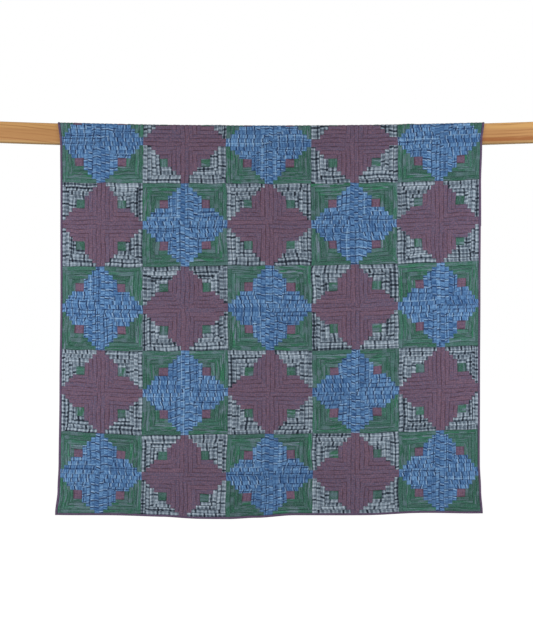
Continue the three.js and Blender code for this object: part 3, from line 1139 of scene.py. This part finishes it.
def planed_softwood():
    """Planed softwood: growth lines along the rail, golden sapwood at its top, redder wood below,
    a broken streak of heartwood near one end, fine fibres, and painted shade darkening its lower edge."""
    material, n = new_material("planed_softwood")
    x, y, z = n.parts(n.node("Attribute", attribute_name="timber").outputs["Vector"])
    drift = n.lumps((x, 1.6), (y, 9.0), (z, 9.0))
    slope = n.add(n.times(x, 0.04), n.times(x, x, -0.02))
    depth = n.add(z, PITH_DEPTH)
    from_pith = n.math("SQRT", n.add(n.times(y, y), n.times(depth, depth)))
    turns = n.math("DIVIDE", n.add(from_pith, slope, n.scale(drift, -0.022, 0.022)), RING)
    strength = n.lumps((x, 2.3), n.math("FLOOR", turns), detail=1.0)
    fibre = n.lumps((x, 12.0), (y, 900.0), (z, 900.0), detail=3.0)
    broad = n.lumps((x, 2.2), (y, 40.0), (z, 60.0))
    waver = n.scale(n.lumps((x, 3.0)), -0.006, 0.006)
    level = n.add(z, waver)
    line = n.band(n.math("FRACT", turns), 0.72, 0.05, 0.18)
    line = n.times(line, n.step(strength, 0.4, 0.66), n.step(level, 0.042, 0.034))
    redder_end = n.step(x, 0.1, 0.6)
    patches = n.lumps((x, 7.0), 0.0, (z, 90.0))
    heart = n.times(n.band(level, -0.024, 0.005, 0.006), n.step(patches, 0.2, 0.46), redder_end)
    sawn = n.step(n.math("ABSOLUTE", x), SAWN_FROM - 0.0004, SAWN_FROM)
    pores = n.lumps(0.0, (y, 1200.0), (z, 1200.0))
    colour = n.layers(
        n.mix(n.step(broad, 0.3, 0.7), srgb(178, 128, 76), srgb(190, 140, 86)),
        (n.step(level, 0.013, 0.027), 0.9, 208, 161, 98),
        (n.step(x, 0.3, -0.9), 0.35, 160, 114, 64),
        (n.times(n.step(level, -0.022, -0.028), redder_end), 0.85, 156, 108, 54),
        (n.band(level, -0.0365, 0.002, 0.004), 0.6, 188, 154, 102),
        (line, 0.85, 150, 98, 50),
        (heart, 0.9, 150, 88, 36),
        (n.step(fibre, 0.35, 0.75), 0.22, 150, 104, 62),
        # Painted shade: the lowest few millimetres of the face, where the eased edge turns away from
        # the light, darkened to olive brown.
        (n.step(z, -0.038, -0.042), 0.85, 116, 92, 48),
        (sawn, n.scale(pores, 0.2, 0.7), 150, 108, 68),
    )
    height = n.add(n.times(fibre, 0.6), n.times(line, -0.4))
    shader = n.tree.nodes["Principled BSDF"]
    n.wire(shader, Base_Color=colour, Normal=n.bump(height, 0.0006, 0.35))
    n.wire(shader, Roughness=n.scale(fibre, 0.45, 0.65), Specular_IOR_Level=0.4)
    return material


# ---------- the object

block_fabrics = [
    dashed_blue(),
    streaked_green("streaked_green_cotton", srgb(28, 92, 64), srgb(40, 144, 90)),
    ribbed_plum("centre_plum_cotton", srgb(132, 94, 110), srgb(117, 91, 114)),
    ribbed_plum("ribbed_plum_cotton", srgb(123, 94, 106), srgb(96, 94, 118)),
    black_white_check(),
    streaked_green("centre_green_cotton", srgb(58, 110, 82), srgb(68, 132, 96)),
]
binding_cotton = plain_plum("binding_cotton", srgb(88, 71, 97), srgb(100, 82, 110), 0.0)
lining_cotton = plain_plum("lining_cotton", srgb(84, 66, 86), srgb(96, 78, 98), 1.0)

rail = planed_rail(planed_softwood())
lining = quilt_lining(lining_cotton)
rows = [patchwork_row(row, block_fabrics) for row in range(ROWS)]
strips = bindings(binding_cotton)

for piece in (rail, lining, *rows, *strips.values()):
    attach(piece, "root")
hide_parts("hanging_rail")
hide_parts("quilt")
for node, piece in strips.items():
    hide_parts(node)

# ---------- floor, light and camera

FLOOR_DROP = 0.9  # of the floor below the quilt's front hem
FLOOR_REACH = 60.0
AMBIENT = 0.4  # light of the surround
FLOOR_GLOW = 0.7  # that the camera sees added to the far floor,
NEAR_GLOW = 0.3  # and to the floor under the lamps,
LAMPLIT = 4.5  # which light it out to here


def floor():
    """A wide pale floor. The camera sees it lightened towards white, so that only the object's
    shadow shows on it."""
    material, n = new_material("pale_floor")
    n.tree.nodes.clear()
    x, y, _ = n.parts(n.node("TexCoord").outputs["Object"])
    from_foot = n.math("SQRT", n.add(n.times(x, x), n.times(y, y)))
    glow_here = n.scale(n.step(from_foot, 0.5, LAMPLIT), NEAR_GLOW, FLOOR_GLOW)
    matt = n.wire(n.node("BsdfDiffuse"), Color=(0.8, 0.8, 0.8, 1))
    glow = n.wire(n.node("Emission"), Strength=n.times(n.seen(), glow_here))
    both = n.fill(n.node("AddShader"), matt[0], glow[0])
    n.wire(n.node("OutputMaterial"), Surface=both)
    reach = FLOOR_REACH / MM
    level = (cad_low.z - FLOOR_DROP) / MM
    corners = [(-reach, -reach), (reach, -reach), (reach, reach), (-reach, reach)]
    points = [(*corner, level) for corner in corners]
    add_piece("floor", points, [[0, 1, 2, 3]], [material])


def sky():
    """An even white surround: the light of an overcast room, seen as plain white."""
    world = bpy.data.worlds.new("white_surround")
    bpy.context.scene.world = world
    world.use_nodes = True
    n = Nodes(world.node_tree)
    n.tree.nodes.clear()
    light = n.scale(n.seen(), AMBIENT, 1.0)
    background = n.wire(n.node("Background"), Color=(1, 1, 1, 1), Strength=light)
    n.wire(n.node("OutputWorld"), Surface=background[0])


def lamp(name, place, target, size, power):
    """A soft square lamp turned towards a point."""
    light = bpy.data.lights.new(name, "AREA")
    light.shape = "SQUARE"
    light.size = size
    light.energy = power
    lamp_object = bpy.data.objects.new(name, light)
    lamp_object.location = place
    aim = Vector(target) - Vector(place)
    lamp_object.rotation_euler = aim.to_track_quat("-Z", "Y").to_euler()
    lamp_object.visible_camera = False
    bpy.context.scene.collection.objects.link(lamp_object)


CAMERA_DISTANCE = 11.0
SENSOR = 36.0
VIEW_HEIGHT = 2.671  # what the upright frame holds at the quilt
VIEW_X, VIEW_Z = -0.018, -0.759  # what the camera looks at


def camera():
    """A long lens square on to the quilt."""
    data = bpy.data.cameras.new("camera")
    data.sensor_width = SENSOR
    data.lens = SENSOR * CAMERA_DISTANCE / VIEW_HEIGHT
    data.clip_end = 200
    camera_object = bpy.data.objects.new("camera", data)
    camera_object.location = (VIEW_X, -CAMERA_DISTANCE, VIEW_Z)
    camera_object.rotation_euler = (np.pi / 2, 0, 0)
    bpy.context.scene.collection.objects.link(camera_object)
    bpy.context.scene.camera = camera_object


floor()
sky()
quilt_middle = (0, 0, -0.5)
lamp("left_lamp", (-2.0, -1.4, -0.68), quilt_middle, 1.2, 28.5)
lamp("right_lamp", (2.0, -1.4, -0.52), quilt_middle, 1.2, 28.0)
lamp("back_lamp", (1.5, 4.5, 1.2), quilt_middle, 3.0, 150)
camera()
bpy.context.scene.view_settings.view_transform = "Standard"
